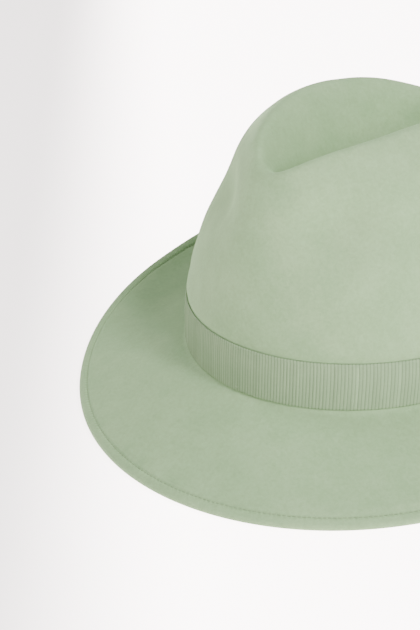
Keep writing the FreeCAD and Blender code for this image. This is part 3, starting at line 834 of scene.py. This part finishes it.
# ---------------------------------------------------------------------------------------------
# The small bow inside, at the back. A scrap of narrow satin ribbon pinched at its middle; it
# hides the sweatband's seam.
REAR_BOW_HEIGHT = 0.027
REAR_BOW_HALF_LENGTH = 0.009
REAR_BOW_HALF_HEIGHT = 0.0042
REAR_BOW_WAIST = 0.0013
REAR_BOW_BACK = 0.00085
REAR_BOW_THICKNESS = 0.0007
REAR_BOW_GAP = 0.0003


def satin_material(name, shade, light, weave):
    """Satin: long floats that shine along the thread, and soft clouding."""
    kit = new_material(name, Sheen_Weight=0.15)
    cloud = kit.noise(kit.place, 45.0, 3.0)
    drawn_out = kit.add("Mapping", {0: kit.place, 3: (1.0, 1.0, 0.12)}).outputs[0]
    floats = kit.noise(drawn_out, weave, 2.0)
    kit.paint(kit.tint(cloud, shade, light, 0.3, 0.7), kit.span(floats, 0.3, 0.7, 0.90, 1.05))
    kit.feed("Roughness", kit.span(floats, 0.0, 1.0, 0.26, 0.42))
    kit.bump(floats, 0.25, 0.00005)
    return kit.material


def rear_bow_points():
    """A bow tie in two parameters: its half height widens from the waist to rounded, slightly
    hollow ends, and its front stands out most half way along each loop."""
    along_it, round_it = np.meshgrid(np.linspace(-1, 1, 41), np.linspace(0, 2 * np.pi, 33),
                                     indexing="ij")
    spread = smooth(np.abs(along_it), 0.1, 0.85)
    tall = REAR_BOW_WAIST + (REAR_BOW_HALF_HEIGHT - REAR_BOW_WAIST) * spread
    closing = np.sqrt(np.clip(1 - np.abs(along_it) ** 12, 0, 1))
    hollow = 0.10 * np.cos(round_it * 2) * spread * closing
    x = along_it * REAR_BOW_HALF_LENGTH * (0.94 - hollow)
    y = tall * np.cos(round_it) * closing
    full = REAR_BOW_THICKNESS / 2 * (1 + 0.8 * np.sin(np.pi * np.abs(along_it)))
    out = full * np.sin(round_it) * closing * (1 + 0.25 * np.cos(6 * round_it) * (1 - spread))
    out = out + REAR_BOW_THICKNESS / 2 + REAR_BOW_GAP
    height, behind = np.array(REAR_BOW_HEIGHT), np.array(np.pi)
    base = on_wall(height, behind, -(LEATHER_BACK + LEATHER + REAR_BOW_BACK))
    inward = -facing(crown, np.interp(height, WALL_HEIGHTS, WALL_PLACES), behind)
    sideways_on = np.array([1.0, 0, 0])
    up = unit(np.cross(inward, sideways_on))
    points = base + x[..., None] * sideways_on + y[..., None] * up + out[..., None] * inward
    return points, np.stack([along_it, round_it / (2 * np.pi)], -1)


rear_bow = skin("rear_bow_satin", *rear_bow_points(), wrap_columns=True)
sage_satin = satin_material("sage_satin", (0.20, 0.26, 0.16), (0.28, 0.35, 0.23), 9000.0)
sew_on(rear_bow, sage_satin, "rear_seam_bow")

# ---------------------------------------------------------------------------------------------
# The tag beside it: a small woven label, left blank, with turned and pressed edges.
TAG_HALF = (0.006, 0.004)
TAG_HEIGHT = 0.014
TAG_ANGLE = math.pi + math.radians(17)
TAG_THICKNESS = 0.00035
TAG_HEM = 0.35
TAG_BACK = 0.00035


def tag_points():
    """A rectangle with rounded corners and a pillow edge, laid on the leather's curve."""
    rings_out = np.concatenate([[0], np.linspace(0.3, 1, 8)])
    share, turn = np.meshgrid(rings_out, np.linspace(0, 2 * np.pi, 65), indexing="ij")
    square = np.stack([np.cos(turn), np.sin(turn)], -1)
    square = np.sign(square) * np.abs(square) ** (2 / CORNER_POWER)
    flat = square * np.array(TAG_HALF) * share[..., None]
    pillow = TAG_THICKNESS / 2 * np.sqrt(np.clip(1 - share ** 30, 0, 1))
    turned_hem = TAG_THICKNESS / 2 * TAG_HEM * (share > 0.85) * (share < 0.999)
    flats = np.concatenate([flat, flat[-2::-1]])
    out = np.concatenate([pillow + turned_hem, -pillow[-2::-1]])
    angle = TAG_ANGLE - flats[..., 0] / RING_BACK[0]
    depth = -(LEATHER_BACK + LEATHER + TAG_BACK + TAG_THICKNESS / 2 + out)
    return on_wall(TAG_HEIGHT + flats[..., 1], angle, depth), flats / TAG_HALF[0]


tag = skin("size_tag_woven", *tag_points(), wrap_columns=True)
woven_label = satin_material("woven_label", (0.62, 0.60, 0.54), (0.74, 0.72, 0.66), 7000.0)
sew_on(tag, woven_label, "size_tag")

# ---------------------------------------------------------------------------------------------
# The lining. Satin: a wall gathered a little into the oval top's seam, its foot tucked behind
# the sweatband, and the oval top itself, which hangs slightly under the dent.
LINING = 0.0004
LINING_BACK = 0.0026
LINING_BOTTOM = 0.013
LINING_TOP = 0.084
GATHERS = 58
GATHER_STEPS = 8
GATHER_DEPTH = 0.0008
TIP_SAG = 0.003
TIP_PIPING = 0.0007
TIP_PIPING_START = 0.93
TIP_GAP = 0.00035
TIP_WAVE_DEPTH, TIP_WAVE_LENGTH = 0.00035, 0.03


def gather(height, angle):
    """How far the satin's folds stand in from the felt: uneven waves round the hat that grow
    from nothing behind the sweatband to the seam at the top."""
    wander = 0.35 * np.sin(5 * angle + 1) + 0.25 * np.sin(11 * angle + 2)
    fold = 0.5 + 0.5 * np.cos(GATHERS * angle + 6 * wander)
    grow = smooth(height, SWEATBAND_HEIGHT - 0.006, LINING_TOP - 0.004)
    return GATHER_DEPTH * fold * (0.7 + 0.3 * np.sin(7 * angle)) * grow


lining_section = strip_section(LINING_BOTTOM, LINING_TOP, LINING, 22)
lining_turns = np.linspace(-np.pi, np.pi, GATHERS * GATHER_STEPS + 1)
height, angle = np.meshgrid(lining_section[:, 0], lining_turns, indexing="ij")
depth = lining_section[:, 1:] + LINING_BACK + gather(height, angle)
lining_side = skin("lining_side_satin", on_wall(height, angle, -depth),
                   np.stack([angle, height], -1), wrap_rows=True, wrap_columns=True)
pale_satin = satin_material("pale_satin", (0.56, 0.60, 0.50), (0.66, 0.70, 0.60), 6000.0)
sew_on(lining_side, pale_satin, "lining_side")

tip_shares = np.concatenate([[0], np.linspace(0.08, TIP_PIPING_START, 16),
                             [0.955, 0.97, 0.985, 0.995, 1]])
share, angle = np.meshgrid(tip_shares, np.linspace(-np.pi, np.pi, 241), indexing="ij")
rim = on_wall(0 * angle + LINING_TOP, angle, 0 * angle - (LINING_BACK + LINING + TIP_GAP))
along_piping = np.clip((share - TIP_PIPING_START) / (1 - TIP_PIPING_START), 0, 1)
piping = TIP_PIPING * np.sin(np.pi * along_piping)
tip_points = rim * share[..., None]
uneven = TIP_WAVE_DEPTH * waves(tip_points, TIP_WAVE_LENGTH, 31) * (1 - share)
tip_points[..., 2] = LINING_TOP - LINING - TIP_SAG * (1 - share ** 2) + uneven
lower, upper = tip_points.copy(), tip_points.copy()
lower[..., 2] -= piping
upper[..., 2] += LINING * np.sqrt(1 - share ** 20)
tip_grid = np.concatenate([lower, upper[-2::-1]])
lining_tip = skin("lining_tip_satin", tip_grid, tip_grid[..., :2], wrap_columns=True)
sew_on(lining_tip, pale_satin, "lining_tip")

# ---------------------------------------------------------------------------------------------
# The stage: a white seamless table in a pale room. The table's emission is painted light: it glows
# like a lit sweep and lights the hat, and is painted dimmer along one side as painted shade. A
# window stands high at the hat's left and a broader one at its right, with fills beside, before and
# overhead.
FLOOR_HALF = 12.0
FLOOR_GLOW = 1.8
SWEEP_GLOW = 7.2
SWEEP_DIM = 0.5
SWEEP_DIRECTION = (0.717, 0.698, 0.0)
SWEEP_EDGE = (-0.20, -0.09)
ROOM_GLOW = 0.12
ROOM_SEEN = 4.0

floor_mesh = bpy.data.meshes.new("floor")
floor_mesh.from_pydata([(x * FLOOR_HALF, y * FLOOR_HALF, 0)
                        for x, y in ((-1, -1), (1, -1), (1, 1), (-1, 1))], [], [(0, 1, 2, 3)])
floor = bpy.data.objects.new("floor", floor_mesh)
bpy.context.collection.objects.link(floor)
table = new_material("white_table", Base_Color=(0.86, 0.845, 0.84, 1), Roughness=0.9,
                     Specular_IOR_Level=0.1, Emission_Color=(1.0, 0.90, 0.885, 1))
# Painted light: a constant glow that lights the hat, and for the camera alone a stronger glow,
# painted dimmer along one side as painted shade.
across_table = table.add("VectorMath", {0: table.place, 1: SWEEP_DIRECTION},
                         operation="DOT_PRODUCT").outputs["Value"]
spill = table.span(across_table, *SWEEP_EDGE, SWEEP_DIM, SWEEP_GLOW,
                   interpolation_type="SMOOTHSTEP")
in_view = table.add("LightPath").outputs["Is Camera Ray"]
table.feed("Emission Strength", table.maths("MULTIPLY_ADD", in_view, spill, FLOOR_GLOW))
floor_mesh.materials.append(table.material)

CAMERA_AZIMUTH = math.radians(34.87)
CAMERA_ELEVATION = math.radians(23.31)
CAMERA_DISTANCE = 0.7352
CAMERA_SLIDE = (-0.0791, -0.0444)
CAMERA_LENS = 79.5
AIM_HEIGHT = 0.05


def towards(azimuth, elevation):
    """The direction from the hat to a place at an azimuth from the front and an elevation."""
    level = math.cos(elevation)
    return Vector((math.sin(azimuth) * level, -math.cos(azimuth) * level, math.sin(elevation)))


def look(thing, place, aim):
    """Put a camera or light at a place, turned to an aim, with its top up."""
    back = (place - aim).normalized()
    right = Vector((0, 0, 1)).cross(back).normalized()
    turned = Matrix((right, back.cross(right), back)).transposed()
    thing.matrix_world = stance @ Matrix.Translation(place) @ turned.to_4x4()
    bpy.context.collection.objects.link(thing)


camera = bpy.data.objects.new("camera", bpy.data.cameras.new("camera"))
camera.data.lens = CAMERA_LENS
camera.data.sensor_width = 36
camera.data.clip_start = 0.01
to_camera = towards(CAMERA_AZIMUTH, CAMERA_ELEVATION)
camera_right = Vector((math.cos(CAMERA_AZIMUTH), math.sin(CAMERA_AZIMUTH), 0))
middle = Vector((0, 0, AIM_HEIGHT))
aim = middle + camera_right * CAMERA_SLIDE[0] + to_camera.cross(camera_right) * CAMERA_SLIDE[1]
look(camera, middle + to_camera * CAMERA_DISTANCE, aim)
bpy.context.scene.camera = camera


def soft_light(name, azimuth, elevation, size, power, colour=(1, 1, 1), distance=2.6):
    """An oval light of a size, wide and tall, that faces the hat from an angle in degrees."""
    lamp = bpy.data.lights.new(name, "AREA")
    lamp.shape = "ELLIPSE"
    lamp.size, lamp.size_y = size
    lamp.energy = power
    lamp.color = colour
    light = bpy.data.objects.new(name, lamp)
    way = towards(math.radians(azimuth), math.radians(elevation))
    look(light, middle + way * distance, middle)


soft_light("window", 80, 50, (0.5, 0.5), 50, (1.0, 0.985, 0.965))
soft_light("low_side", 90, 22, (2.6, 1.7), 30)
soft_light("low_front", 60, 24, (0.5, 0.5), 23)
soft_light("overhead", 0, 84, (2.4, 2.4), 19)
soft_light("right_window", -75, 48, (0.9, 0.9), 30)
room = bpy.data.worlds.new("pale_room")
room.use_nodes = True
backdrop = room.node_tree.nodes["Background"]
backdrop.inputs["Color"].default_value = (1.0, 0.975, 0.965, 1)
seen_room = room.node_tree.nodes.new("ShaderNodeMath")
seen_room.operation = "MULTIPLY_ADD"
seen_room.inputs[1].default_value = ROOM_SEEN
seen_room.inputs[2].default_value = ROOM_GLOW
room_path = room.node_tree.nodes.new("ShaderNodeLightPath")
room.node_tree.links.new(room_path.outputs["Is Camera Ray"], seen_room.inputs[0])
room.node_tree.links.new(seen_room.outputs[0], backdrop.inputs["Strength"])
bpy.context.scene.world = room
